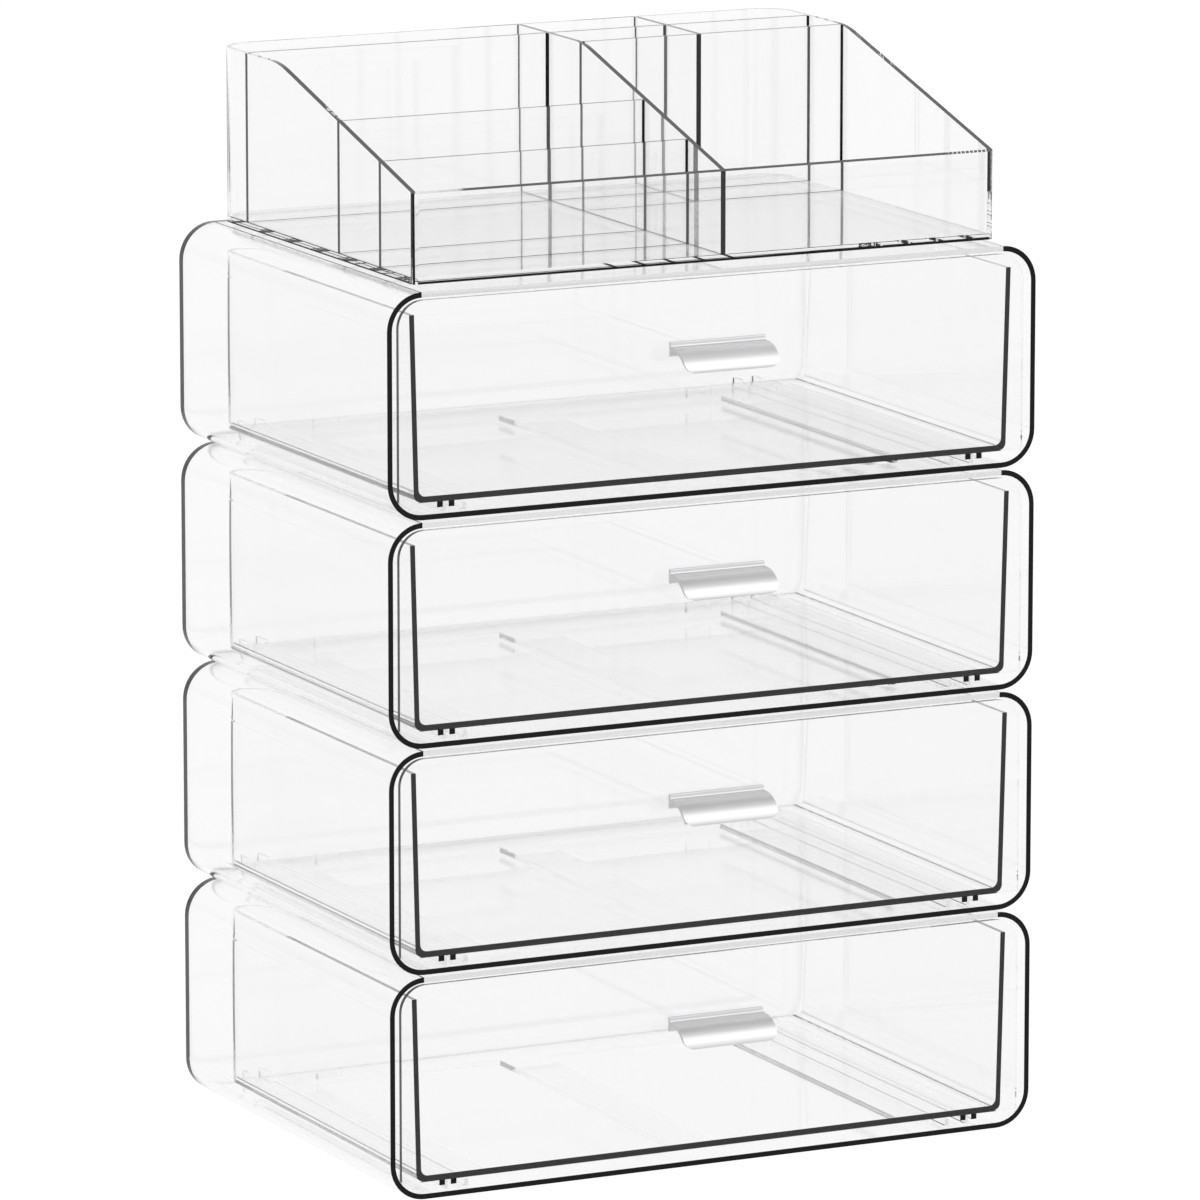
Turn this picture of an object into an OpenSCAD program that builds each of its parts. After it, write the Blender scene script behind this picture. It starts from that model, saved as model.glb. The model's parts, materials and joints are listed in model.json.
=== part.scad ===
// Stacked clear cases with drawers and a cosmetics tray on top.
// Each case, drawer and pull is drawn once and repeated for every level.

/* [Case] */
// Outer width of a case
case_w = 240; // [200:1:280]
// Outer depth of a case, front rim to back
case_d = 167; // [145:1:200]
// Outer height of a case
case_h = 75.4; // [66:0.2:100]
// Wall thickness of a case
case_t = 1.8; // [1.4:0.1:3]
// Radius of the four long outer edges
case_r = 12.5; // [8:0.5:16]

/* [Case floor] */
// Width of the strip between the two floor windows
strip_w = 16.5; // [8:0.5:30]
// Floor left between a window and the inner rail beside it
window_side = 12; // [5:0.5:25]
// Floor left in front of the windows
window_front = 16; // [8:1:30]
// Floor left between the windows and the back stops
window_ledge = 0.3; // [0.1:0.1:6]
// Corner radius of the windows
window_r = 3; // [1:0.5:8]

/* [Runners] */
// Distance from the case's side wall to the middle of the outer rail
rail_inset = 20.2; // [16:0.2:26]
// Distance from an outer rail to the inner rail beside it
rail_step = 7.5; // [6:0.5:9]
// Thickness of a rail
rail_t = 1.5; // [1:0.1:2.5]
// Height of an inner rail above the case floor
inner_rail_h = 2.3; // [1:0.1:3]
// Height of the drawer's underside above the case floor
drawer_lift = 3.9; // [3.5:0.1:6]
// Distance from the front rim to the rails' front ends
rail_start = 4; // [2:0.5:12]
// Length of the raised back end of each rail
rail_end_l = 7; // [4:0.5:8]
// Height of the raised back end of each rail
rail_end_h = 4.8; // [4:0.1:7]
// Width of each back stop
stop_w = 9.3; // [5:0.1:15]
// Thickness of each back stop
stop_t = 2; // [1.5:0.1:3]
// Distance between the two back stops, centre to centre
stop_span = 140; // [100:1:150]

/* [Drawer] */
// Thickness of the drawer front
front_t = 1.8; // [1.4:0.1:4]
// Setback of the drawer front behind the case's rim
front_recess = 0.5; // [0.2:0.1:2]
// Gap at each side of the drawer front
front_side_gap = 2.6; // [1:0.1:4]
// Gap above the drawer front
front_top_gap = 1; // [0.5:0.1:3]
// Radius of the drawer front's top corners
front_r = 9; // [4:0.5:12]
// Radius of the drawer front's bottom corners
front_foot_r = 1; // [0.5:0.1:3]
// Wall thickness of the drawer tub
tub_t = 1.8; // [1.4:0.1:3]
// Floor thickness of the drawer tub
tub_floor_t = 1.8; // [1.4:0.1:3.5]
// Gap between the tub's rim and the case's side wall
tub_side_gap = 6.9; // [4:0.1:10]
// Gap between the tub's rim and the case's top
tub_top_gap = 5.8; // [3:0.1:12]
// How much narrower the tub is at its floor, on each side
tub_draft = 1.5; // [0.5:0.1:3]
// Gap between the tub's back and the case's back wall
tub_back_gap = 14.2; // [10:0.2:20]
// Radius of the tub's back corners, seen from above
tub_back_r = 9; // [5:0.5:15]
// Radius of the tub's long bottom edges
tub_edge_r = 2.5; // [1:0.1:4]
// Thickness of a guide rib below the tub
rib_t = 2.1; // [1:0.1:2.5]
// Height of a guide rib below the tub
rib_h = 2.3; // [1:0.1:3]

/* [Handle] */
// Length of the handle
handle_w = 35; // [25:0.5:60]
// Height of the handle's back plate
plate_h = 4.8; // [4:0.1:8]
// Sheet thickness of the handle
handle_t = 1.2; // [0.8:0.1:2]
// Reach of the handle in front of its back face
handle_reach = 12.7; // [10:0.1:16]
// Depth of the hood's free edge below the back plate
hood_drop = 3.9; // [3:0.1:6]
// Outer radius of the hood
hood_r = 9.5; // [8:0.5:12]
// Height of the back plate above the hood
plate_ledge = 1.7; // [0.8:0.1:2.5]
// Radius of the hood's two free corners
hood_corner_r = 3.2; // [1:0.1:4]
// Distance from the drawer front's top edge down to the back plate's top edge
handle_drop = 20.3; // [12:0.1:30]
// Thickness of the adhesive pad behind the handle
tape_t = 0.5; // [0.3:0.1:1]
// Margin of the back plate around the adhesive pad
tape_margin = 0.6; // [0.3:0.1:1.5]

/* [Feet] */
// Diameter of a bumper pad
foot_d = 8; // [5:0.5:12]
// Thickness of a bumper pad
foot_t = 0.8; // [0.5:0.1:2]
// Distance from a case's sides to its pads' centres
foot_edge_x = 27; // [18:1:38]
// Distance from a case's front and back edges to its pads' centres
foot_edge_y = 10; // [7:0.5:20]

/* [Tray] */
// Setback of the tray behind the case's front rim
tray_setback = 6.5; // [2:0.5:12]
// Setback of the tray's sides from the case's sides
tray_side_setback = 12.5; // [8:0.5:24]
// Setback of the tray's back from the case's back
tray_back_setback = 3; // [1:0.5:12]
// Height of the tray at its back
tray_h = 59.6; // [50:0.2:80]
// Height of the tray's front wall
tray_front_h = 29.8; // [20:0.2:45]
// Thickness of the tray's outer walls
tray_t = 1.8; // [1.4:0.1:3]
// Thickness of the tray's floor
tray_floor_t = 2; // [1.4:0.1:3.5]
// Radius of the tray's back corners
tray_back_r = 12; // [4:0.5:16]
// Radius of the tray's front corners
tray_front_r = 2; // [1:0.5:6]
// Length of the side walls' level stretch, from the back to the crest
tray_level_l = 51.5; // [30:0.5:70]
// Radius of the side walls' crest
crest_r = 45; // [10:1:60]
// Thickness of the tray's bumper pads
tray_foot_t = 1.4; // [0.5:0.1:3]
// Distance from the tray's sides to its pads' centres
tray_foot_edge = 12; // [8:0.5:30]

/* [Tray dividers] */
// Thickness of a divider
divider_t = 1.8; // [1.2:0.1:3]
// Clear width of the left column
left_column_w = 111; // [80:0.5:115]
// Clear width of the cells left of the right column's long divider
inner_cell_w = 43; // [30:0.5:60]
// Clear depth of the front cell in the left column
front_cell_d = 24; // [15:0.5:30]
// Clear depth of the second cell in the left column
second_cell_d = 30.5; // [20:0.5:40]
// Clear depth of the back cells
back_cell_d = 22; // [15:0.5:26]
// Clear depth of the right column's middle cells
middle_cell_d = 23.5; // [15:0.5:26]

/* [Hidden] */
levels = 4;
$fn = 96;
// Overshoot of a cut beyond the face that it opens
cut = 1;
// Running clearance between the drawer's underside and its rails
runner_play = 0.2;
// Clearance between the back stops and the closed drawer
stop_play = 0.3;
// How far the back stops reach above the drawer's underside
stop_reach = 0.9;
// Running clearance between a rail and the ribs beside it
rib_play = 0.3;
// Rails, ribs and stops start this far inside the sheet that carries them
root = 0.5;
// Rounding of the back plate's top corners
plate_r = 0.4;
// Radius inside the tray's front corners
tray_front_inner_r = 1.1;
// Straight pieces that make up the side walls' rounded crest
crest_steps = 8;

pitch = case_h + foot_t;
inner_w = case_w - 2 * case_t;
inner_top = case_h - case_t;
inner_back = case_d - case_t;
outer_rail_x = inner_w / 2 - rail_inset;
inner_rail_x = outer_rail_x - rail_step;
outer_rail_h = drawer_lift - runner_play;
drawer_z = case_t + drawer_lift;
handle_out = tape_t + handle_reach - front_recess;
// The front rim's place when the whole object, handles included, is centred
rim_y = (handle_out - case_d) / 2;

front_w = inner_w - 2 * front_side_gap;
front_h = inner_top - front_top_gap - drawer_z;
tub_y = front_recess + front_t;
tub_back = inner_back - tub_back_gap;
tub_h = inner_top - tub_top_gap - drawer_z;
tub_w = inner_w - 2 * tub_side_gap;
stop_y = tub_back + stop_play;
window_w = inner_rail_x - rail_t / 2 - window_side - strip_w / 2;
window_l = stop_y - window_ledge - window_front;
tub_draft_angle = atan(tub_draft / tub_h);
handle_z = drawer_z + front_h - handle_drop - plate_h;

tray_w = case_w - 2 * tray_side_setback;
tray_d = case_d - tray_setback - tray_back_setback;
tray_z = levels * pitch + tray_foot_t;
tray_crest_y = tray_d - tray_level_l;
tray_slope = (tray_h - tray_front_h) / tray_crest_y;
crest_angle = atan(tray_slope);
crest_run = crest_r * tan(crest_angle / 2);
tray_inner_w = tray_w - 2 * tray_t;
centre_x = -tray_inner_w / 2 + left_column_w;
right_x = centre_x + divider_t;
long_x = right_x + inner_cell_w;
front_row_y = tray_t + front_cell_d;
second_row_y = front_row_y + divider_t + second_cell_d;
back_row_y = tray_d - tray_t - back_cell_d - divider_t;
middle_row_y = back_row_y - middle_cell_d - divider_t;
halving_z = (tray_floor_t + tray_h) / 2;

CLEAR = [0.90, 0.93, 0.95, 0.45];
FRONT = [0.86, 0.90, 0.93, 0.45];
METAL = [0.80, 0.80, 0.81];
PAD = [0.75, 0.78, 0.80, 0.8];
TAPE = [0.92, 0.92, 0.90];

// Points of an arc about (x, y) from angle a to angle b, in n steps
function arc(x, y, r, a, b, n) = [
    for (k = [0:n]) [x + r * cos(a + (b - a) * k / n), y + r * sin(a + (b - a) * k / n)]
];

// Height of the tray's sloped edge at the distance y from its front
function slope_h(y) = min(tray_h, tray_front_h + tray_slope * y);

// Extrudes an X-Z outline to the back by d
module along_y(d) {
    translate([0, d, 0])
        rotate([90, 0, 0])
            linear_extrude(d)
                children();
}

// Extrudes a Y-Z outline to the right by w
module along_x(w) {
    rotate([90, 0, 90])
        linear_extrude(w)
            children();
}

// Places a shape in the frame of one level: front rim at y = 0, underside at z = 0
module at_level(i) {
    translate([0, rim_y, foot_t + (i - 1) * pitch])
        children();
}

// Places a shape in the tray's frame: front face at y = 0, underside at z = 0
module at_tray() {
    translate([0, rim_y + tray_setback, tray_z])
        children();
}

// Bumper pad that hangs below z = 0
module pad(t) {
    translate([0, 0, -t])
        cylinder(h = t, d = foot_d);
}

// Rectangle centred on X and standing on y = 0, with bottom radius rb and top radius rt
module rounded_outline(w, h, rb, rt) {
    for (s = [-1, 1]) {
        translate([s * (w / 2 - rb), rb])
            circle(rb);
        translate([s * (w / 2 - rt), h - rt])
            circle(rt);
    }
    translate([-w / 2, rb])
        square([w, h - rb - rt]);
    translate([-w / 2 + rb, 0])
        square([w - 2 * rb, rb]);
    translate([-w / 2 + rt, h - rt])
        square([w - 2 * rt, rt]);
}

// ---- case -------------------------------------------------------------------

// Cut through the floor, on the left for side -1 and on the right for side 1
module floor_window(side) {
    translate([side * (strip_w + window_w) / 2, window_front, -cut])
        linear_extrude(case_t + 2 * cut)
            rounded_outline(window_w, window_l, window_r, window_r);
}

// Rail on the case floor with its raised back end
module rail(x, h) {
    translate([x - rail_t / 2, rail_start, case_t - root])
        cube([rail_t, inner_back - rail_start + root, h + root]);
    translate([x - rail_t / 2, inner_back - rail_end_l, case_t - root])
        cube([rail_t, rail_end_l + root, rail_end_h + root]);
}

// Tab on the case floor that the closed drawer's back meets
module back_stop(x) {
    translate([x - stop_w / 2, stop_y, case_t - root])
        cube([stop_w, stop_t, drawer_lift + stop_reach + root]);
}

module case_shell() {
    color(CLEAR) {
        difference() {
            along_y(case_d)
                rounded_outline(case_w, case_h, case_r, case_r);
            translate([0, -cut, case_t])
                along_y(inner_back + cut)
                    rounded_outline(inner_w, inner_top - case_t, case_r - case_t, case_r - case_t);
            for (side = [-1, 1])
                floor_window(side);
        }
        for (side = [-1, 1]) {
            rail(side * outer_rail_x, outer_rail_h);
            rail(side * inner_rail_x, inner_rail_h);
            back_stop(side * stop_span / 2);
        }
    }
}

module case_feet() {
    color(PAD)
        for (x = [-1, 1] * (case_w / 2 - foot_edge_x), y = [foot_edge_y, case_d - foot_edge_y])
            translate([x, y, 0])
                pad(foot_t);
}

// ---- drawer -----------------------------------------------------------------

// Half of the tub's outer width at the height z above its underside
function tub_half(z) = tub_w / 2 - (tub_h - z) * tan(tub_draft_angle);

// Drafted outline of half width hb at the bottom, height h, with bottom corners of radius r
module drafted_outline(hb, h, r) {
    ht = hb + h * tan(tub_draft_angle);
    cx = hb - r * (1 - sin(tub_draft_angle)) / cos(tub_draft_angle);
    tx = cx + r * cos(tub_draft_angle);
    ty = r - r * sin(tub_draft_angle);
    polygon([[-cx, 0], [cx, 0], [tx, ty], [ht, h], [-ht, h], [-tx, ty]]);
    for (s = [-1, 1])
        translate([s * cx, r])
            circle(r);
}

// Plan of the tub, inset by t, from the front end at y to its rounded back corners
module tub_plan(t, y) {
    w = tub_w - 2 * t;
    r = tub_back_r - t;
    back = tub_back - t;
    translate([-w / 2, y])
        square([w, back - r - y]);
    translate([-w / 2 + r, back - r])
        square([w - 2 * r, r]);
    for (s = [-1, 1])
        translate([s * (w / 2 - r), back - r])
            circle(r);
}

// Body of the tub from y to its back, inset by t, with its floor of half width hb at the height z
module tub_body(t, y, hb, z, h, r) {
    intersection() {
        translate([0, y, z])
            along_y(tub_back - t - y)
                drafted_outline(hb, h, r);
        translate([0, 0, z])
            linear_extrude(h)
                tub_plan(t, y);
    }
}

// Pair of ribs that straddles an outer rail
module guide_ribs(x) {
    for (s = [-1, 1])
        translate([x + s * (rail_t / 2 + rib_play + rib_t / 2) - rib_t / 2, tub_y, drawer_z - rib_h])
            cube([rib_t, tub_back - tub_back_r - tub_y, rib_h + root]);
}

module drawer_box() {
    color(CLEAR) {
        difference() {
            tub_body(0, tub_y, tub_half(0), drawer_z, tub_h, tub_edge_r);
            tub_body(tub_t, tub_y - cut, tub_half(tub_floor_t) - tub_t, drawer_z + tub_floor_t,
                tub_h - tub_floor_t + cut, tub_edge_r);
        }
        for (side = [-1, 1])
            guide_ribs(side * outer_rail_x);
    }
}

module drawer_front() {
    color(FRONT)
        translate([0, front_recess, drawer_z])
            along_y(front_t)
                rounded_outline(front_w, front_h, front_foot_r, front_r);
}

// ---- handle -----------------------------------------------------------------

// Y-Z outline: back plate, bridge and curved hood; the plate's foot is at the origin, front is -y
module handle_outline() {
    bridge_z = plate_h - plate_ledge;
    axis_z = bridge_z - hood_r;
    axis_y = -handle_reach + sqrt(pow(hood_r, 2) - pow(axis_z + hood_drop, 2));
    translate([-handle_t, 0])
        square([handle_t, plate_h]);
    translate([axis_y, bridge_z - handle_t])
        square([-axis_y, handle_t]);
    intersection() {
        translate([axis_y, axis_z])
            difference() {
                circle(hood_r);
                circle(hood_r - handle_t);
            }
        translate([-handle_reach, -hood_drop])
            square([handle_reach + axis_y, hood_drop + bridge_z]);
    }
}

module handle() {
    color(METAL)
        translate([0, front_recess - tape_t, handle_z])
            intersection() {
                translate([-handle_w / 2, 0, 0])
                    along_x(handle_w)
                        handle_outline();
                translate([0, -handle_reach - cut, -hood_drop])
                    along_y(handle_reach + 2 * cut)
                        rounded_outline(handle_w, hood_drop + plate_h, hood_corner_r, plate_r);
            }
}

module handle_tape() {
    color(TAPE)
        translate([-handle_w / 2 + tape_margin, front_recess - tape_t, handle_z + tape_margin])
            cube([handle_w - 2 * tape_margin, tape_t, plate_h - 2 * tape_margin]);
}

// ---- tray -------------------------------------------------------------------

// Y-Z outline of the side walls: front wall height, slope, rounded crest, level stretch
module tray_side_outline() {
    polygon(concat(
        [[0, 0], [tray_d, 0], [tray_d, tray_h]],
        arc(tray_crest_y + crest_run, tray_h - crest_r, crest_r, 90, 90 + crest_angle, crest_steps),
        [[0, tray_front_h]]
    ));
}

// Plan of the tray, inset by t, with front corners of radius r
module tray_plan(t, r) {
    translate([0, t])
        rounded_outline(tray_w - 2 * t, tray_d - 2 * t, r, tray_back_r - t);
}

module tray_shell() {
    color(CLEAR)
        difference() {
            intersection() {
                linear_extrude(tray_h)
                    tray_plan(0, tray_front_r);
                translate([-tray_w / 2, 0, 0])
                    along_x(tray_w)
                        tray_side_outline();
            }
            translate([0, 0, tray_floor_t])
                linear_extrude(tray_h)
                    tray_plan(tray_t, tray_front_inner_r);
        }
}

module tray_feet() {
    color(PAD)
        for (x = [-1, 1] * (tray_w / 2 - tray_foot_edge), y = [tray_foot_edge, tray_d - tray_foot_edge])
            translate([x, y, 0])
                pad(tray_foot_t);
}

module tray_centre_divider() {
    color(FRONT)
        intersection() {
            translate([centre_x, 0, 0])
                along_x(divider_t)
                    tray_side_outline();
            translate([centre_x, tray_t, tray_floor_t])
                cube([divider_t, tray_d - 2 * tray_t, tray_h]);
        }
}

// Cross sheet between two X positions at the distance y from the tray's front
module cross_sheet(x0, x1, y, h) {
    color(FRONT)
        translate([x0, y, tray_floor_t])
            cube([x1 - x0, divider_t, h - tray_floor_t]);
}

// Sheet across the left column
module left_sheet(y) {
    cross_sheet(-tray_inner_w / 2, centre_x, y, slope_h(y));
}

// Sheet across the right column
module right_sheet(y) {
    cross_sheet(right_x, tray_inner_w / 2, y, slope_h(y));
}

// Space that one of the two crossing sheets leaves to the other, between two heights
module halving_slot(z0, z1) {
    translate([long_x, back_row_y, z0])
        cube([divider_t, divider_t, z1 - z0]);
}

module right_rear_divider() {
    color(FRONT)
        difference() {
            right_sheet(back_row_y);
            halving_slot(tray_floor_t, halving_z);
        }
}

module right_long_divider() {
    color(FRONT)
        difference() {
            translate([long_x, middle_row_y + divider_t, tray_floor_t])
                cube([divider_t, tray_d - tray_t - middle_row_y - divider_t, tray_h - tray_floor_t]);
            halving_slot(halving_z, tray_h);
        }
}

// ---- nodes ------------------------------------------------------------------

for (i = [1:levels]) {
    at_level(i) case_shell();
    at_level(i) case_feet();
    at_level(i) drawer_box();
    at_level(i) drawer_front();
    at_level(i) handle();
    at_level(i) handle_tape();
}
at_tray() tray_shell();
at_tray() tray_feet();
at_tray() tray_centre_divider();
at_tray() left_sheet(front_row_y);  // tray_left_front_divider
at_tray() left_sheet(second_row_y);  // tray_left_middle_divider
at_tray() left_sheet(back_row_y);  // tray_left_rear_divider
at_tray() right_sheet(middle_row_y);  // tray_right_middle_divider
at_tray() right_rear_divider();  // tray_right_rear_divider
at_tray() right_long_divider();  // tray_right_long_divider
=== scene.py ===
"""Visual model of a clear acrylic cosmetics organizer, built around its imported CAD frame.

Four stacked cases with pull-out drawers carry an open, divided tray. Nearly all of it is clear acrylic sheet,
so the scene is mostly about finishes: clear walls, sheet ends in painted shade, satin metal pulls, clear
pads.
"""

from __future__ import annotations

import json
import logging
import math
from collections.abc import Callable
from dataclasses import dataclass
from enum import Enum
from typing import Any

import bmesh
import bpy
from mathutils import Matrix, Vector

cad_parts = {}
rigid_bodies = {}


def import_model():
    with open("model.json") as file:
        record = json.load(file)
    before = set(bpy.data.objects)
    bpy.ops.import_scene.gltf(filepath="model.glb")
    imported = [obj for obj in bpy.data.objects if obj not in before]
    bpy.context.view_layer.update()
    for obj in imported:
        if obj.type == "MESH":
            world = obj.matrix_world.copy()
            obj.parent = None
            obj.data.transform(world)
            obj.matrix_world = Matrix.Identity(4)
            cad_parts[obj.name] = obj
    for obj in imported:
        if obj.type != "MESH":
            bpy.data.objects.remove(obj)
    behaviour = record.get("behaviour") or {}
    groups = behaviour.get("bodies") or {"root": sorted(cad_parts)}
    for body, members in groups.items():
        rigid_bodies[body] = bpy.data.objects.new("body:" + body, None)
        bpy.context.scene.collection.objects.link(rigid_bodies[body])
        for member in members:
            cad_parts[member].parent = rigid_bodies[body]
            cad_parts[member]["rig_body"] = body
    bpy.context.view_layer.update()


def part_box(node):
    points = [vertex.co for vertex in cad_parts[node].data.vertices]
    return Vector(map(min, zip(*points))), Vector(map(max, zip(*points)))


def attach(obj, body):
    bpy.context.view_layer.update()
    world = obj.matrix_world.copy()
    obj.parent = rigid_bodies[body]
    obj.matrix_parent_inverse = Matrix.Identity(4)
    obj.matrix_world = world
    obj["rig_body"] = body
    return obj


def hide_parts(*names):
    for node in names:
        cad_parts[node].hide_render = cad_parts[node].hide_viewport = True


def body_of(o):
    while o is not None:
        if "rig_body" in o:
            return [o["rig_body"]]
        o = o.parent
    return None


log = logging.getLogger("organizer")

MM = 0.001
LEVELS = (1, 2, 3, 4)
WHITE = "#FFFFFF"
Box = tuple[Vector, Vector]

# A bound, in millimetres, that lies farther out than any piece.
FAR = 1000.0
# How far a face may lie off a sheet's end, or off a cut line, and still count as part of it, in millimetres.
END_SLACK = 0.05
LINE_SLACK = 0.01


def linear(hex_colour: str) -> tuple[float, float, float, float]:
    """Turns an sRGB hex colour to Blender's linear colour.

    Args:
        hex_colour: The colour as #RRGGBB.

    Returns:
        Linear red, green and blue, and an alpha of 1.
    """
    values = [int(hex_colour[i : i + 2], 16) / 255 for i in (1, 3, 5)]
    r, g, b = (v / 12.92 if v <= 0.04045 else ((v + 0.055) / 1.055) ** 2.4 for v in values)
    return r, g, b, 1.0


def add_node(
    tree: bpy.types.NodeTree,
    kind: str,
    settings: dict[str | int, Any] | None = None,
    links: dict[str | int, bpy.types.NodeSocket] | None = None,
) -> bpy.types.Node:
    """Adds one shader node.

    Args:
        tree: The node tree that gets it.
        kind: Blender's class name of the node.
        settings: Values by name, each for a property of the node or else for an input socket. An input
            socket may be given by its number too.
        links: Output sockets by the name or number of the input that each feeds.

    Returns:
        The new node.
    """
    node = tree.nodes.new(kind)
    for name, value in (settings or {}).items():
        if isinstance(name, str) and hasattr(node, name):
            setattr(node, name, value)
        else:
            node.inputs[name].default_value = value
    for name, socket in (links or {}).items():
        tree.links.new(socket, node.inputs[name])
    return node


def new_material(name: str) -> tuple[bpy.types.Material, bpy.types.NodeTree, bpy.types.Node]:
    """Makes an empty node material.

    Args:
        name: The material's name.

    Returns:
        The material, its node tree and its output node.
    """
    material = bpy.data.materials.new(name)
    material.use_nodes = True
    tree = material.node_tree
    tree.nodes.clear()
    return material, tree, add_node(tree, "ShaderNodeOutputMaterial")


@dataclass(frozen=True)
class ClearAcrylic:
    """Clear acrylic, moulded against polished steel: water-white, with a faint grey in its depth."""

    name: str
    depth_per_m: float
    colour: str = "#FDFDFD"
    depth_colour: str = "#8F9192"
    ior: float = 1.49
    roughness: float = 0.0
    ripple_mm: float = 14.0
    ripple_depth_mm: float = 0.0012
    lamp_tint: str = "#F7F7F7"

    def build(self) -> bpy.types.Material:
        """Builds the finish.

        Lamps reach through it by a transparent shader, and the eye looks through real refraction.

        Returns:
            The material.
        """
        material, tree, out = new_material(self.name)
        place = add_node(tree, "ShaderNodeTexCoord")
        # Moulded sheet is never quite flat: a ripple about as long as a finger is wide wavers its mirroring.
        ripple = add_node(
            tree,
            "ShaderNodeTexNoise",
            {"Scale": 1 / (self.ripple_mm * MM), "Detail": 1.0},
            {"Vector": place.outputs["Object"]},
        )
        bump = add_node(
            tree,
            "ShaderNodeBump",
            {"Distance": self.ripple_depth_mm * MM},
            {"Height": ripple.outputs["Fac"]},
        )
        glass = add_node(
            tree,
            "ShaderNodeBsdfPrincipled",
            {
                "Base Color": linear(self.colour),
                "Roughness": self.roughness,
                "IOR": self.ior,
                "Transmission Weight": 1.0,
            },
            {"Normal": bump.outputs["Normal"]},
        )
        path = add_node(tree, "ShaderNodeLightPath")
        passed = add_node(
            tree,
            "ShaderNodeMath",
            {"operation": "MAXIMUM"},
            {0: path.outputs["Is Shadow Ray"], 1: path.outputs["Is Diffuse Ray"]},
        )
        open_to_light = add_node(tree, "ShaderNodeBsdfTransparent", {"Color": linear(self.lamp_tint)})
        mix = add_node(
            tree,
            "ShaderNodeMixShader",
            None,
            {0: passed.outputs[0], 1: glass.outputs[0], 2: open_to_light.outputs[0]},
        )
        depth = add_node(
            tree,
            "ShaderNodeVolumeAbsorption",
            {"Color": linear(self.depth_colour), "Density": self.depth_per_m},
        )
        tree.links.new(mix.outputs[0], out.inputs["Surface"])
        tree.links.new(depth.outputs[0], out.inputs["Volume"])
        return material


@dataclass(frozen=True)
class PaintedShadeSheetEnd:
    """Painted shade for the end of a polished acrylic sheet: light that enters stays in the sheet, so the end
    looks dark, and this dark colour stands in for that shade.
    """

    name: str
    colour: str = "#131212"
    mark_colour: str = "#1E1B1A"
    roughness: float = 0.12
    mark_roughness: float = 0.27
    ior: float = 1.49
    shine: float = 0.12
    mark_mm: float = 0.4

    def build(self) -> bpy.types.Material:
        """Builds the finish.

        Returns:
            The material.
        """
        material, tree, out = new_material(self.name)
        place = add_node(tree, "ShaderNodeTexCoord")
        # Trimmed ends keep faint cutter marks, which break up the shine along the line.
        marks = add_node(
            tree,
            "ShaderNodeTexNoise",
            {"Scale": 1 / (self.mark_mm * MM), "Detail": 2.0},
            {"Vector": place.outputs["Object"]},
        )
        shade = add_node(
            tree,
            "ShaderNodeMix",
            {"data_type": "RGBA", "A": linear(self.colour), "B": linear(self.mark_colour)},
            {0: marks.outputs["Fac"]},
        )
        rough = add_node(
            tree,
            "ShaderNodeMapRange",
            {"To Min": self.roughness, "To Max": self.mark_roughness},
            {"Value": marks.outputs["Fac"]},
        )
        end = add_node(
            tree,
            "ShaderNodeBsdfPrincipled",
            {"IOR": self.ior, "Specular IOR Level": self.shine},
            {"Base Color": shade.outputs["Result"], "Roughness": rough.outputs["Result"]},
        )
        tree.links.new(end.outputs[0], out.inputs["Surface"])
        return material


@dataclass(frozen=True)
class SatinAluminium:
    """Extruded aluminium, brushed along its length and anodised clear: fine streaks stretch highlights."""

    name: str
    colour: str = "#DADADB"
    roughness: float = 0.38
    roughness_swing: float = 0.08
    streak_mm: float = 0.25
    streak_length_mm: float = 12.0
    streak_depth_mm: float = 0.006
    streak_strength: float = 0.5

    def build(self) -> bpy.types.Material:
        """Builds the finish.

        Returns:
            The material.
        """
        material, tree, out = new_material(self.name)
        place = add_node(tree, "ShaderNodeTexCoord")
        # Real brushing is finer than a pixel here, so the streaks are drawn a few times as wide.
        along = add_node(
            tree,
            "ShaderNodeMapping",
            {"Scale": (self.streak_mm / self.streak_length_mm, 1.0, 1.0)},
            {"Vector": place.outputs["Object"]},
        )
        streaks = add_node(
            tree,
            "ShaderNodeTexNoise",
            {"Scale": 1 / (self.streak_mm * MM), "Detail": 3.0},
            {"Vector": along.outputs["Vector"]},
        )
        rough = add_node(
            tree,
            "ShaderNodeMapRange",
            {
                "To Min": self.roughness - self.roughness_swing,
                "To Max": self.roughness + self.roughness_swing,
            },
            {"Value": streaks.outputs["Fac"]},
        )
        bump = add_node(
            tree,
            "ShaderNodeBump",
            {"Strength": self.streak_strength, "Distance": self.streak_depth_mm * MM},
            {"Height": streaks.outputs["Fac"]},
        )
        metal = add_node(
            tree,
            "ShaderNodeBsdfPrincipled",
            {"Base Color": linear(self.colour), "Metallic": 1.0},
            {"Roughness": rough.outputs["Result"], "Normal": bump.outputs["Normal"]},
        )
        tree.links.new(metal.outputs[0], out.inputs["Surface"])
        return material


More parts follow.
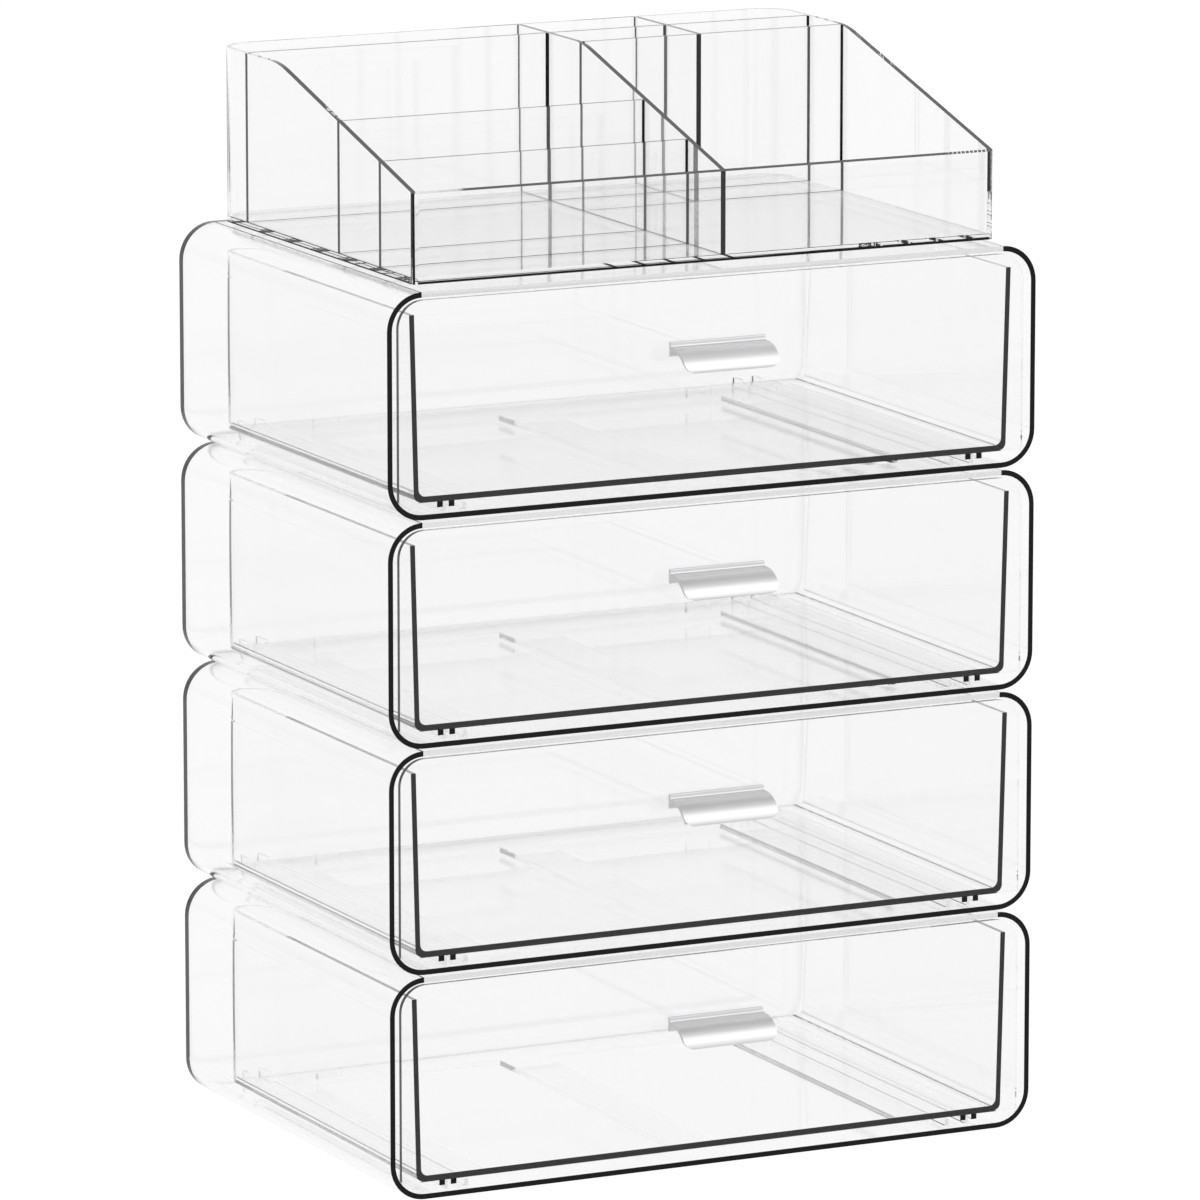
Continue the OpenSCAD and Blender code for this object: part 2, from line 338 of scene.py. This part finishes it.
@dataclass(frozen=True)
class ClearSilicone:
    """Clear silicone pad, die cut from sheet: see-through like acrylic, with a slightly dull skin."""

    name: str
    colour: str = "#FDFDFD"
    roughness: float = 0.02
    ior: float = 1.41
    grain_mm: float = 0.6
    grain_depth_mm: float = 0.01
    grain_strength: float = 0.3

    def build(self) -> bpy.types.Material:
        """Builds the finish.

        Returns:
            The material.
        """
        material, tree, out = new_material(self.name)
        place = add_node(tree, "ShaderNodeTexCoord")
        # A soft pad's skin is faintly pebbled, which blurs what shows through it.
        grain = add_node(
            tree,
            "ShaderNodeTexNoise",
            {"Scale": 1 / (self.grain_mm * MM), "Detail": 2.0},
            {"Vector": place.outputs["Object"]},
        )
        bump = add_node(
            tree,
            "ShaderNodeBump",
            {"Strength": self.grain_strength, "Distance": self.grain_depth_mm * MM},
            {"Height": grain.outputs["Fac"]},
        )
        pad = add_node(
            tree,
            "ShaderNodeBsdfPrincipled",
            {
                "Base Color": linear(self.colour),
                "Roughness": self.roughness,
                "Transmission Weight": 1.0,
                "IOR": self.ior,
            },
            {"Normal": bump.outputs["Normal"]},
        )
        tree.links.new(pad.outputs[0], out.inputs["Surface"])
        return material


@dataclass(frozen=True)
class FoamTape:
    """Double-sided acrylic foam tape: grey-white, dull, with fine closed cells."""

    name: str
    colour: str = "#D2D3D3"
    cell_colour: str = "#BFC1C1"
    roughness: float = 0.8
    cell_mm: float = 0.3
    cell_depth_mm: float = 0.03
    cell_strength: float = 0.4

    def build(self) -> bpy.types.Material:
        """Builds the finish.

        Returns:
            The material.
        """
        material, tree, out = new_material(self.name)
        place = add_node(tree, "ShaderNodeTexCoord")
        # The foam's cells show as fine specks, here about three times as coarse as real ones.
        cells = add_node(
            tree,
            "ShaderNodeTexVoronoi",
            {"Scale": 1 / (self.cell_mm * MM)},
            {"Vector": place.outputs["Object"]},
        )
        shade = add_node(
            tree,
            "ShaderNodeMix",
            {"data_type": "RGBA", "A": linear(self.cell_colour), "B": linear(self.colour)},
            {0: cells.outputs["Distance"]},
        )
        bump = add_node(
            tree,
            "ShaderNodeBump",
            {"Strength": self.cell_strength, "Distance": self.cell_depth_mm * MM},
            {"Height": cells.outputs["Distance"]},
        )
        foam = add_node(
            tree,
            "ShaderNodeBsdfPrincipled",
            {"Roughness": self.roughness},
            {"Base Color": shade.outputs["Result"], "Normal": bump.outputs["Normal"]},
        )
        tree.links.new(foam.outputs[0], out.inputs["Surface"])
        return material


@dataclass(frozen=True)
class PhotoCamera:
    """The photograph's viewpoint, fitted to the outlines of the four cases."""

    place_mm: tuple[float, float, float] = (-1410.24, -2849.90, 809.46)
    azimuth_deg: float = -26.2493
    elevation_deg: float = 11.2008
    lens_mm: float = 286.61
    sensor_mm: float = 36.0
    nearest_m: float = 0.05
    farthest_m: float = 50.0

    def build(self) -> None:
        """Adds the camera and makes it the scene's camera."""
        a, e = math.radians(self.azimuth_deg), math.radians(self.elevation_deg)
        right = Vector((math.cos(a), math.sin(a), 0))
        back = Vector((math.sin(a) * math.cos(e), -math.cos(a) * math.cos(e), math.sin(e)))
        up = back.cross(right)
        data = bpy.data.cameras.new("photo_camera")
        data.lens = self.lens_mm
        data.sensor_width = self.sensor_mm
        data.clip_start = self.nearest_m
        data.clip_end = self.farthest_m
        camera = bpy.data.objects.new("photo_camera", data)
        turn = Matrix((right, up, back)).transposed().to_4x4()
        camera.matrix_world = Matrix.Translation(Vector(self.place_mm) * MM) @ turn
        bpy.context.scene.collection.objects.link(camera)
        bpy.context.scene.camera = camera


@dataclass(frozen=True)
class SoftLamp:
    """A square soft lamp that looks at the object's middle."""

    name: str
    place_m: tuple[float, float, float]
    watts: float
    side_m: float
    aim_m: tuple[float, float, float] = (0.0, 0.0, 0.18)

    def build(self) -> None:
        """Hangs the lamp and turns it to its aim."""
        data = bpy.data.lights.new(self.name, "AREA")
        data.energy = self.watts
        data.size = self.side_m
        lamp = bpy.data.objects.new(self.name, data)
        lamp.location = self.place_m
        lamp.rotation_euler = (Vector(self.aim_m) - lamp.location).to_track_quat("-Z", "Y").to_euler()
        bpy.context.scene.collection.objects.link(lamp)


@dataclass(frozen=True)
class Studio:
    """White product studio: a pale floor, a world that is white to the eye and soft light from the front.

    The ends of the ceiling's and the wall's shades are given as sines of their elevation.
    """

    floor_size_m: float = 30.0
    floor_drop_mm: float = 0.05
    world_light: float = 0.75
    ceiling: str = "#DCDCDD"
    ceiling_from: float = 0.75
    ceiling_full: float = 0.98
    wall: str = "#F3F3F4"
    wall_rise: tuple[float, float, float, float] = (0.02, 0.10, 0.17, 0.24)
    floor_paint: str = "#F2F2F2"
    floor_glow_share: float = 0.92
    floor_glow_through: float = 1.02
    floor_glow_direct: float = 1.08
    key_lamp: SoftLamp = SoftLamp("key_lamp", (0.85, -1.48, 1.72), watts=5.0, side_m=1.2)
    fill_lamp: SoftLamp = SoftLamp("fill_lamp", (-1.2, -0.9, 1.5), watts=2.5, side_m=1.0)
    bounces: int = 64
    glass_bounces: int = 48
    glossy_bounces: int = 30

    def build(self) -> None:
        """Adds the floor, the world and the lamps."""
        scene = bpy.context.scene
        scene.view_settings.view_transform = "Standard"
        scene.cycles.max_bounces = self.bounces
        scene.cycles.transmission_bounces = self.glass_bounces
        scene.cycles.transparent_max_bounces = self.glass_bounces
        # A sheet's inner mirroring counts as glossy, so this sets how deep the eye sees into a sheet's end.
        scene.cycles.glossy_bounces = self.glossy_bounces
        self.world()
        self.floor()
        self.key_lamp.build()
        self.fill_lamp.build()

    def seen(self, tree: bpy.types.NodeTree) -> bpy.types.NodeSocket:
        """Finds rays of the eye, also those by way of a mirror or glass.

        Args:
            tree: The node tree of the floor or the world.

        Returns:
            A socket that is 1 for such rays and 0 for light that bounces.
        """
        path = add_node(tree, "ShaderNodeLightPath")
        mirrored = add_node(
            tree,
            "ShaderNodeMath",
            {"operation": "MAXIMUM"},
            {0: path.outputs["Is Camera Ray"], 1: path.outputs["Is Glossy Ray"]},
        )
        both = add_node(
            tree,
            "ShaderNodeMath",
            {"operation": "MAXIMUM"},
            {0: mirrored.outputs[0], 1: path.outputs["Is Transmission Ray"]},
        )
        return both.outputs[0]

    def world(self) -> None:
        """Sets a world that is white to the eye, with a greyer far wall and ceiling, and weaker as light."""
        world = bpy.data.worlds.new("white_studio")
        bpy.context.scene.world = world
        world.use_nodes = True
        tree = world.node_tree
        tree.nodes.clear()
        out = add_node(tree, "ShaderNodeOutputWorld")
        place = add_node(tree, "ShaderNodeTexCoord")
        height = add_node(tree, "ShaderNodeSeparateXYZ", None, {0: place.outputs["Generated"]})
        # The level sheets mirror the far wall at a low angle. It is a little greyer than the floor.
        colour = add_node(tree, "ShaderNodeValToRGB", None, {0: height.outputs["Z"]})
        ramp = colour.color_ramp.elements
        floor_line, wall_foot, wall_head, above_wall = self.wall_rise
        ramp[0].position, ramp[0].color = floor_line, linear(WHITE)
        ramp[1].position, ramp[1].color = self.ceiling_full, linear(self.ceiling)
        for rise, shade in (
            (wall_foot, self.wall),
            (wall_head, self.wall),
            (above_wall, WHITE),
            (self.ceiling_from, WHITE),
        ):
            ramp.new(rise).color = linear(shade)
        light = add_node(
            tree, "ShaderNodeBackground", {"Strength": self.world_light}, {"Color": colour.outputs["Color"]}
        )
        shown = add_node(tree, "ShaderNodeBackground", {"Strength": 1.0}, {"Color": colour.outputs["Color"]})
        mix = add_node(
            tree, "ShaderNodeMixShader", None, {0: self.seen(tree), 1: light.outputs[0], 2: shown.outputs[0]}
        )
        tree.links.new(mix.outputs[0], out.inputs["Surface"])

    def floor(self) -> None:
        """Adds the floor, which keeps the object's shadow but is otherwise white to the eye."""
        half = self.floor_size_m / 2
        mesh = bpy.data.meshes.new("studio_floor")
        corners = [(-half, -half, 0), (half, -half, 0), (half, half, 0), (-half, half, 0)]
        mesh.from_pydata(corners, [], [(0, 1, 2, 3)])
        floor = bpy.data.objects.new("studio_floor", mesh)
        # The floor lies a hair lower than the pads' undersides, so that the two never share a plane.
        floor.location.z = -self.floor_drop_mm * MM
        bpy.context.scene.collection.objects.link(floor)
        material, tree, out = new_material("studio_floor_paint")
        paint = add_node(tree, "ShaderNodeBsdfDiffuse", {"Color": linear(self.floor_paint)})
        share = add_node(
            tree, "ShaderNodeMath", {"operation": "MULTIPLY", 1: self.floor_glow_share}, {0: self.seen(tree)}
        )
        path = add_node(tree, "ShaderNodeLightPath")
        # The floor seen through the sheets stays a touch darker, so that they stand out from the backdrop.
        strength = add_node(
            tree,
            "ShaderNodeMath",
            {
                "operation": "MULTIPLY_ADD",
                1: self.floor_glow_direct - self.floor_glow_through,
                2: self.floor_glow_through,
            },
            {0: path.outputs["Is Camera Ray"]},
        )
        glow = add_node(
            tree, "ShaderNodeEmission", {"Color": linear(WHITE)}, {"Strength": strength.outputs[0]}
        )
        mix = add_node(
            tree, "ShaderNodeMixShader", None, {0: share.outputs[0], 1: paint.outputs[0], 2: glow.outputs[0]}
        )
        tree.links.new(mix.outputs[0], out.inputs["Surface"])
        mesh.materials.append(material)


class Facing(Enum):
    """The way that a sheet's end looks."""

    FRONT = (0.0, -1.0, 0.0)
    LEFT = (-1.0, 0.0, 0.0)
    RIGHT = (1.0, 0.0, 0.0)
    FRONT_LEFT = (-math.sqrt(0.5), -math.sqrt(0.5), 0.0)


@dataclass(frozen=True)
class PaintedShadeEnd:
    """Sheet ends painted dark as shade: the way they face, and the room that they lie in, in millimetres."""

    facing: Facing
    low: tuple[float, float, float] = (-FAR, -FAR, -FAR)
    high: tuple[float, float, float] = (FAR, FAR, FAR)
    spread_deg: float = 6.0

    def holds(self, mesh: bpy.types.Mesh, face: bpy.types.MeshPolygon) -> bool:
        """Says whether a face is one of these ends.

        Args:
            mesh: The mesh of the face.
            face: The face.

        Returns:
            True if it faces that way and lies in the room.
        """
        if face.normal.dot(Vector(self.facing.value)) < math.cos(math.radians(self.spread_deg)):
            return False
        corners = [mesh.vertices[v].co / MM for v in face.vertices]
        return all(lo <= c <= hi for p in corners for lo, c, hi in zip(self.low, p, self.high))


@dataclass(frozen=True)
class Finishes:
    """The finishes that the pieces share."""

    case: bpy.types.Material
    drawer: bpy.types.Material
    tray: bpy.types.Material
    # Painted shade: the dark finish that sheet ends take in place of the shade of light trapped in the sheet.
    end: bpy.types.Material
    metal: bpy.types.Material
    silicone: bpy.types.Material
    foam: bpy.types.Material


def dress(node: str, material: bpy.types.Material) -> None:
    """Gives a CAD node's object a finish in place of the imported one.

    Args:
        node: The node's name.
        material: The finish.
    """
    obj = bpy.data.objects[node]
    for one in obj.material_slots:
        one.material = material
    log.info("%s: the frame's solid, finished as %s", node, material.name)


def stand_in(piece: bpy.types.Object, nodes: tuple[str, ...]) -> None:
    """Puts a new piece in the place of CAD nodes.

    Args:
        piece: The new piece.
        nodes: The nodes, all on one body.
    """
    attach(piece, body_of(bpy.data.objects[nodes[0]])[0])
    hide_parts(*nodes)
    log.info("%s: %d faces, for %s", piece.name, len(piece.data.polygons), ", ".join(nodes))


def cut_lines(mesh: bpy.types.Mesh, heights_mm: tuple[float, ...]) -> None:
    """Cuts level lines round a mesh's upright walls, and keeps its shading.

    Args:
        mesh: The mesh.
        heights_mm: The heights of the lines.
    """
    place_digits, facing_digits, joint_m = 6, 2, 1e-7

    def spot(point: Vector, normal: Vector) -> tuple[float, ...]:
        """Gives a key for a corner of an upright face: its place in plan, and the way the face looks."""
        plan = (round(c, place_digits) for c in point.xy)
        return (*plan, *(round(c, facing_digits) for c in normal))

    known = {}
    for face in mesh.polygons:
        for corner in face.loop_indices:
            point = mesh.vertices[mesh.loops[corner].vertex_index].co
            known[spot(point, face.normal)] = mesh.corner_normals[corner].vector.copy()
    shape = bmesh.new()
    shape.from_mesh(mesh)
    for height in heights_mm:
        bmesh.ops.bisect_plane(
            shape,
            geom=[*shape.verts, *shape.edges, *shape.faces],
            plane_co=(0, 0, height * MM),
            plane_no=(0, 0, 1),
            dist=joint_m,
        )
    shape.to_mesh(mesh)
    shape.free()
    # A new corner on a wall is shaded like the wall's own corner above or below it, or else like its face.
    shading = []
    for face in mesh.polygons:
        points = [mesh.vertices[v].co for v in face.vertices]
        found = [known.get(spot(point, face.normal)) for point in points]
        between = sum((n for n in found if n), Vector()).normalized()
        shading += [n or between for n in found]
    mesh.normals_split_custom_set(shading)


def clear_part(
    name: str,
    node: str,
    clear: bpy.types.Material,
    end: bpy.types.Material,
    ends: tuple[PaintedShadeEnd, ...],
    lines_mm: tuple[float, ...] = (),
) -> None:
    """Makes a clear part from its solid in the frame, with the ends that look dark in their own finish of
    painted shade.

    Args:
        name: The new piece's name.
        node: The CAD node with its shape.
        clear: The finish of the sheets.
        end: The finish of the dark ends, a painted shade.
        ends: The ends that are painted dark as shade.
        lines_mm: The heights at which a dark end starts or stops on a wall.
    """
    mesh = bpy.data.objects[node].data.copy()
    mesh.name = name
    if lines_mm:
        cut_lines(mesh, lines_mm)
    mesh.materials.clear()
    mesh.materials.append(clear)
    mesh.materials.append(end)
    for face in mesh.polygons:
        face.material_index = int(any(one.holds(mesh, face) for one in ends))
    piece = bpy.data.objects.new(name, mesh)
    bpy.context.scene.collection.objects.link(piece)
    log.info("%s: %d dark faces", name, sum(f.material_index for f in mesh.polygons))
    stand_in(piece, (node,))


def join(shape: bmesh.types.BMesh, rings: list[list[bmesh.types.BMVert]]) -> None:
    """Joins rings of corners, each to the next, by four-sided faces.

    Args:
        shape: The mesh that gets the faces.
        rings: The rings, with as many corners each.
    """
    for one, following in zip(rings, rings[1:]):
        for i in range(len(one)):
            j = (i + 1) % len(one)
            shape.faces.new((one[i], one[j], following[j], following[i]))


def join_closed(shape: bmesh.types.BMesh, rings: list[list[bmesh.types.BMVert]]) -> None:
    """Joins rings of corners and closes the first and the last ring.

    Args:
        shape: The mesh that gets the faces.
        rings: The rings, from the lowest to the highest.
    """
    join(shape, rings)
    shape.faces.new(rings[0][::-1])
    shape.faces.new(rings[-1])


def mesh_piece(
    name: str,
    draw: Callable[[bmesh.types.BMesh], None],
    material: bpy.types.Material,
    crease_deg: float | None = None,
) -> bpy.types.Object:
    """Makes an object from mesh code.

    Args:
        name: The object's name.
        draw: Draws its shape, in millimetres.
        material: Its finish.
        crease_deg: The angle from which an edge stays sharp in smooth shading. Without it all faces are flat.

    Returns:
        The object.
    """
    mesh = bpy.data.meshes.new(name)
    shape = bmesh.new()
    draw(shape)
    bmesh.ops.scale(shape, vec=(MM, MM, MM), verts=shape.verts)
    bmesh.ops.recalc_face_normals(shape, faces=shape.faces)
    shape.to_mesh(mesh)
    shape.free()
    mesh.materials.append(material)
    if crease_deg is not None:
        mesh.shade_smooth()
        mesh.set_sharp_from_angle(angle=math.radians(crease_deg))
    piece = bpy.data.objects.new(name, mesh)
    bpy.context.scene.collection.objects.link(piece)
    return piece


def rest_box(node: str) -> Box:
    """Gives a CAD node's lowest and highest corners at rest, in millimetres.

    Args:
        node: The node's name.

    Returns:
        The two corners.
    """
    low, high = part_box(node)
    return Vector(low) / MM, Vector(high) / MM


@dataclass
class BumperPads:
    """Round clear pads, cut from sheet, with an edge that bulges a little between the two faces."""

    name: str
    node: str
    diameter_mm: float = 8.0
    bulge_mm: float = 0.12
    air_mm: float = 0.02
    crease_deg: float = 40.0
    rim_steps: int = 4
    turns: int = 40

    def build(self, finishes: Finishes) -> None:
        """Builds the four pads below a case or the tray.

        Args:
            finishes: The finishes of the pieces.
        """
        low, high = rest_box(self.node)
        r = self.diameter_mm / 2
        # A film of air parts a pad from the sheets above and below it. The lowest pads stand on the floor.
        over = high.z - self.air_mm
        under = low.z + (self.air_mm if low.z > self.air_mm else 0.0)

        def draw(shape: bmesh.types.BMesh) -> None:
            """Draws the four pads.

            Args:
                shape: The mesh that gets them.
            """
            for x in (low.x + r, high.x - r):
                for y in (low.y + r, high.y - r):
                    self.pad(shape, Vector((x, y, under)), over - under)

        piece = mesh_piece(self.name, draw, finishes.silicone, self.crease_deg)
        stand_in(piece, (self.node,))

    def pad(self, shape: bmesh.types.BMesh, foot: Vector, thick: float) -> None:
        """Draws one pad, turned about its axis.

        Args:
            shape: The mesh that gets it.
            foot: The middle of its underside.
            thick: Its thickness.
        """
        rings = []
        for k in range(self.rim_steps + 1):
            share = k / self.rim_steps
            radius = self.diameter_mm / 2 - self.bulge_mm * (2 * share - 1) ** 2
            rings.append(self.ring(shape, foot + Vector((0, 0, thick * share)), radius))
        join_closed(shape, rings)

    def ring(self, shape: bmesh.types.BMesh, middle: Vector, radius: float) -> list[bmesh.types.BMVert]:
        """Draws one level ring of corners.

        Args:
            shape: The mesh that gets it.
            middle: Its middle.
            radius: Its radius.

        Returns:
            The corners, in order.
        """
        turns = [math.tau * i / self.turns for i in range(self.turns)]
        spokes = [Vector((radius * math.cos(a), radius * math.sin(a), 0)) for a in turns]
        return [shape.verts.new(middle + spoke) for spoke in spokes]


@dataclass
class CaseLevel:
    """One case: a clear shell, open at the front, on four pads."""

    level: int
    corner_mm: float = 12.5

    def build(self, finishes: Finishes) -> None:
        """Builds the shell and its pads.

        Args:
            finishes: The finishes of the pieces.
        """
        node = f"case_{self.level}"
        low, high = rest_box(node)
        # The whole rim is dark but for its straight top, whose end the photograph shows clear.
        front = low.y + END_SLACK
        below_bends = high.z - self.corner_mm + END_SLACK
        straight_half = high.x - self.corner_mm - END_SLACK
        # Painted shade: these rim faces take the dark end finish, in place of the shade that light trapped in
        # the sheet gives.
        rim = (
            PaintedShadeEnd(Facing.FRONT, high=(FAR, front, below_bends)),
            PaintedShadeEnd(Facing.FRONT, high=(-straight_half, front, FAR)),
            PaintedShadeEnd(Facing.FRONT, low=(straight_half, -FAR, -FAR), high=(FAR, front, FAR)),
        )
        clear_part(f"case_shell_{self.level}", node, finishes.case, finishes.end, rim)
        BumperPads(f"case_pads_{self.level}", f"case_feet_{self.level}").build(finishes)


@dataclass
class Pull:
    """Satin metal pull: a back plate, and a curved hood that springs from just below the plate's top edge."""

    level: int
    ledge_mm: float = 1.7
    thick_mm: float = 1.2
    hood_radius_mm: float = 9.5
    hood_drop_mm: float = 3.9
    corner_mm: float = 3.2
    bend_mm: float = 0.8
    edge_mm: float = 0.3
    edge_lead_rad: float = 0.06
    crease_deg: float = 35.0
    corner_steps: int = 3
    bend_steps: int = 5
    hood_steps: int = 20
    edge_steps: int = 8

    def cap(self, shape: bmesh.types.BMesh, end: list[bmesh.types.BMVert]) -> None:
        """Closes one end of the pull: strips across the hood, a fan at its free edge, and the plate.

        Args:
            shape: The mesh that gets the faces.
            end: The section's corners at that end.
        """
        # The section starts with the plate's two top corners and the bend, then comes the hood's outside.
        outside = 2 * (self.corner_steps + 1) + self.bend_steps + 1
        edge = outside + self.hood_steps
        inside = edge + self.edge_steps
        plate_again = inside + self.hood_steps
        for k in range(self.hood_steps):
            over, under = outside + k, plate_again - k
            shape.faces.new((end[over], end[over + 1], end[under - 1], end[under]))
        shape.faces.new(end[edge : inside + 1])
        plate = shape.faces.new(end[: outside + 1] + end[plate_again:])
        bmesh.ops.triangulate(shape, faces=[plate])

    def profile(self, reach: float, plate: float) -> list[Vector]:
        """Draws the pull's section, seen from its right: y to the back, z up from the plate's foot.

        Args:
            reach: How far the hood's edge stands in front of the plate's back.
            plate: The plate's height.

        Returns:
            The section's outline.
        """
        t, r, e, b = self.thick_mm, self.hood_radius_mm, self.edge_mm, self.bend_mm
        top = plate - self.ledge_mm
        centre_z = top - r
        centre_y = -reach + math.sqrt(r * r - (centre_z + self.hood_drop_mm) ** 2)
        free = math.acos((-self.hood_drop_mm - centre_z) / r) - self.edge_lead_rad

        def arc(y: float, z: float, radius: float, start: float, stop: float, steps: int) -> list[Vector]:
            """Draws an arc about (y, z), with angles in radians from +z towards -y."""
            turns = [start + (stop - start) * k / steps for k in range(steps + 1)]
            return [Vector((0, y - radius * math.sin(a), z + radius * math.cos(a))) for a in turns]

        quarter = math.pi / 2
        edge_y = centre_y - (r - t / 2) * math.sin(free)
        edge_z = centre_z + (r - t / 2) * math.cos(free)
        lines = [
            arc(-e, plate - e, e, -quarter, 0, self.corner_steps),
            arc(-t + e, plate - e, e, 0, quarter, self.corner_steps),
            arc(-t - b, top + b, b, -quarter, -2 * quarter, self.bend_steps),
            arc(centre_y, centre_z, r, 0, free, self.hood_steps),
            arc(edge_y, edge_z, t / 2, free, free + math.pi, self.edge_steps)[1:-1],
            arc(centre_y, centre_z, r - t, free, 0, self.hood_steps),
            arc(-t - e, top - t - e, e, 0, -quarter, self.corner_steps),
            arc(-t + e, e, e, quarter, 2 * quarter, self.corner_steps),
            arc(-e, e, e, 2 * quarter, 3 * quarter, self.corner_steps),
        ]
        return [point for line in lines for point in line]

    def build(self, finishes: Finishes) -> None:
        """Builds the pull in the place of its solid, and finishes its tape.

        Args:
            finishes: The finishes of the pieces.
        """
        node = f"handle_{self.level}"
        low, high = rest_box(node)
        plate = high.z - low.z - self.hood_drop_mm
        outline = self.profile(high.y - low.y, plate)
        foot = Vector((0, high.y, low.z + self.hood_drop_mm))
        half = (high.x - low.x) / 2

        def half_length(z: float) -> float:
            """Gives the pull's half length at a height: the hood's two free corners are rounded.

            Args:
                z: The height, from the plate's foot.

            Returns:
                The half length there.
            """
            inward = max(0.0, self.corner_mm - (z + self.hood_drop_mm))
            return half - self.corner_mm + math.sqrt(max(0.0, self.corner_mm**2 - inward**2))

        def draw(shape: bmesh.types.BMesh) -> None:
            """Draws the section's two ends and the surface between them.

            Args:
                shape: The mesh that gets them.
            """
            ends = [
                [shape.verts.new(foot + p + Vector((side * half_length(p.z), 0, 0))) for p in outline]
                for side in (-1, 1)
            ]
            join(shape, ends)
            for end in ends:
                self.cap(shape, end)

        piece = mesh_piece(f"pull_{self.level}", draw, finishes.metal, self.crease_deg)
        stand_in(piece, (node,))
        dress(f"handle_tape_{self.level}", finishes.foam)


@dataclass
class Drawer:
    """One drawer: a clear tub with a front plate across its open end, and a pull on the plate."""

    level: int

    def build(self, finishes: Finishes) -> None:
        """Builds the tub and the pull, and finishes the front.

        Args:
            finishes: The finishes of the pieces.
        """
        node = f"drawer_box_{self.level}"
        low = rest_box(node)[0]
        # The tub's front ends, behind the front plate, are painted dark as shade: the dark U that shows in
        # each case's mouth.
        u_end = PaintedShadeEnd(Facing.FRONT, high=(FAR, low.y + END_SLACK, FAR))
        clear_part(f"drawer_tub_{self.level}", node, finishes.drawer, finishes.end, (u_end,))
        dress(f"drawer_front_{self.level}", finishes.drawer)
        Pull(self.level).build(finishes)


@dataclass
class Tray:
    """The open tray on the top case: a shell with sloped sides, divided by upright sheets."""

    cross_sheets: tuple[str, ...] = ("left_front", "left_middle", "left_rear", "right_middle", "right_rear")
    front_foot_mm: float = 0.8
    left_foot_mm: float = 0.5
    left_shade_line_mm: tuple[float, float] = (2.0, 2.3)
    corner_mm: float = 3.0
    corner_spread_deg: float = 9.0
    bead_mm: float = 0.7
    bead_steps: int = 4

    def build(self, finishes: Finishes) -> None:
        """Builds the shell, the sheets and the pads.

        Args:
            finishes: The finishes of the pieces.
        """
        low = rest_box("tray_shell")[0]
        front_foot, left_foot = low.z + self.front_foot_mm, low.z + self.left_foot_mm
        shade_line_low, shade_line_high = (low.z + rise for rise in self.left_shade_line_mm)
        left = low.x + END_SLACK
        # The tray's foot and its front left corner are painted dark as shade, and so is a fine line where its
        # left wall meets the floor sheet's top.
        ends = (
            PaintedShadeEnd(
                Facing.FRONT_LEFT,
                high=(0.0, low.y + self.corner_mm, FAR),
                spread_deg=self.corner_spread_deg,
            ),
            PaintedShadeEnd(Facing.FRONT, high=(FAR, FAR, front_foot + LINE_SLACK)),
            PaintedShadeEnd(Facing.LEFT, high=(left, FAR, left_foot + LINE_SLACK)),
            PaintedShadeEnd(
                Facing.LEFT,
                low=(-FAR, -FAR, shade_line_low - LINE_SLACK),
                high=(left, FAR, shade_line_high + LINE_SLACK),
            ),
        )
        lines = (left_foot, front_foot, shade_line_low, shade_line_high)
        clear_part("tray_walls", "tray_shell", finishes.tray, finishes.end, ends, lines)
        # Painted shade: the sheets' ends take the dark end finish where trapped light would leave them dark.
        self.sheet("centre", (PaintedShadeEnd(Facing.FRONT),), finishes)
        for name in self.cross_sheets:
            self.sheet(name, (PaintedShadeEnd(Facing.LEFT), PaintedShadeEnd(Facing.RIGHT)), finishes)
        dress("tray_right_long_divider", finishes.tray)
        self.shade_beads(finishes)
        BumperPads("tray_pads", "tray_feet").build(finishes)

    def shade_beads(self, finishes: Finishes) -> None:
        """Builds fine inner corners where the cross sheets meet the sheet or wall to their right, in the dark
        end finish as painted shade.

        Args:
            finishes: The finishes of the pieces.
        """

        def draw(shape: bmesh.types.BMesh) -> None:
            """Draws one upright corner strip for each cross sheet, with a hollow face.

            Args:
                shape: The mesh that gets them.
            """
            leg = self.bead_mm
            turns = [math.pi / 2 * k / self.bead_steps for k in range(self.bead_steps + 1)]
            plan = [(0.0, 0.0)] + [(-leg + leg * math.sin(a), -leg + leg * math.cos(a)) for a in turns]
            for name in self.cross_sheets:
                low, high = rest_box(f"tray_{name}_divider")
                join_closed(
                    shape,
                    [[shape.verts.new((high.x + x, low.y + y, z)) for x, y in plan] for z in (low.z, high.z)],
                )

        piece = mesh_piece("tray_corner_shade_beads", draw, finishes.end)
        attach(piece, "tray")
        log.info("%s: %d faces", piece.name, len(piece.data.polygons))

    def sheet(self, name: str, ends: tuple[PaintedShadeEnd, ...], finishes: Finishes) -> None:
        """Builds one upright sheet.

        Args:
            name: Its place in the tray.
            ends: Its ends painted dark as shade.
            finishes: The finishes of the pieces.
        """
        clear_part(f"{name}_sheet", f"tray_{name}_divider", finishes.tray, finishes.end, ends)


def main() -> None:
    """Builds the studio, then each level's case and drawer, then the tray."""
    logging.basicConfig(level=logging.INFO, format="%(name)s: %(message)s")
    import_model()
    PhotoCamera().build()
    Studio().build()
    finishes = Finishes(
        case=ClearAcrylic("clear_case_acrylic", depth_per_m=2.0).build(),
        drawer=ClearAcrylic("clear_drawer_acrylic", depth_per_m=2.0).build(),
        tray=ClearAcrylic("clear_tray_acrylic", depth_per_m=0.6).build(),
        end=PaintedShadeSheetEnd("painted_shade_sheet_end").build(),
        metal=SatinAluminium("satin_aluminium").build(),
        silicone=ClearSilicone("clear_silicone").build(),
        foam=FoamTape("acrylic_foam_tape").build(),
    )
    for level in LEVELS:
        CaseLevel(level).build(finishes)
        Drawer(level).build(finishes)
    Tray().build(finishes)


if __name__ == "__main__":
    main()
